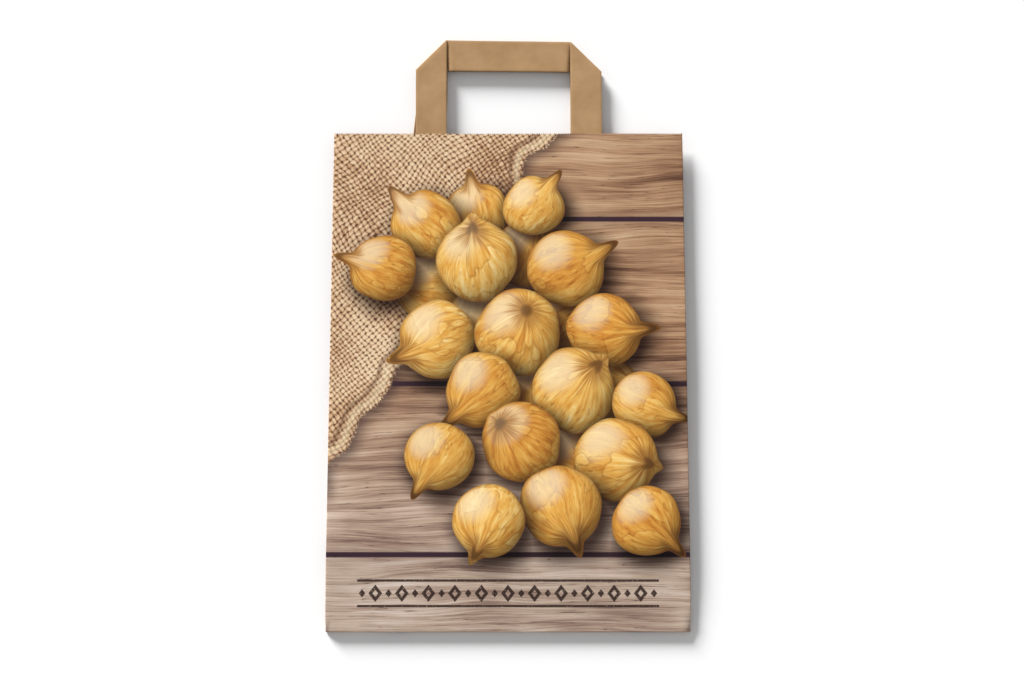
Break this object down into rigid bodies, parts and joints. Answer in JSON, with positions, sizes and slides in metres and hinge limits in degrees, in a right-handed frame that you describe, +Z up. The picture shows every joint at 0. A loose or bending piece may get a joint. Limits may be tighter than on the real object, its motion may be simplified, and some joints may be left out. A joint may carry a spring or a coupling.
{
  "type": "paper carrier bag",
  "caption": "Flat-folded kraft paper carrier bag with inward side gussets, a block bottom, a sawn mouth edge and flat folded paper handles.",
  "frame": {"origin": "middle of the footprint of the whole bag with its handles, on the surface that it lies on", "axes": "+Y from the bottom fold towards the mouth and the handles, +Z up through the front panel, +X to the right as the front is read"},
  "size_m": [0.22, 0.3704, 0.0075],
  "materials": {
    "printed_kraft": "matt brown kraft paper printed all over",
    "plain_kraft": "matt unprinted brown kraft paper"
  },
  "bodies": {
    "root": {"bag_body": "printed_kraft", "front_handle": "plain_kraft", "back_handle": "plain_kraft"}
  },
  "joints": []
}
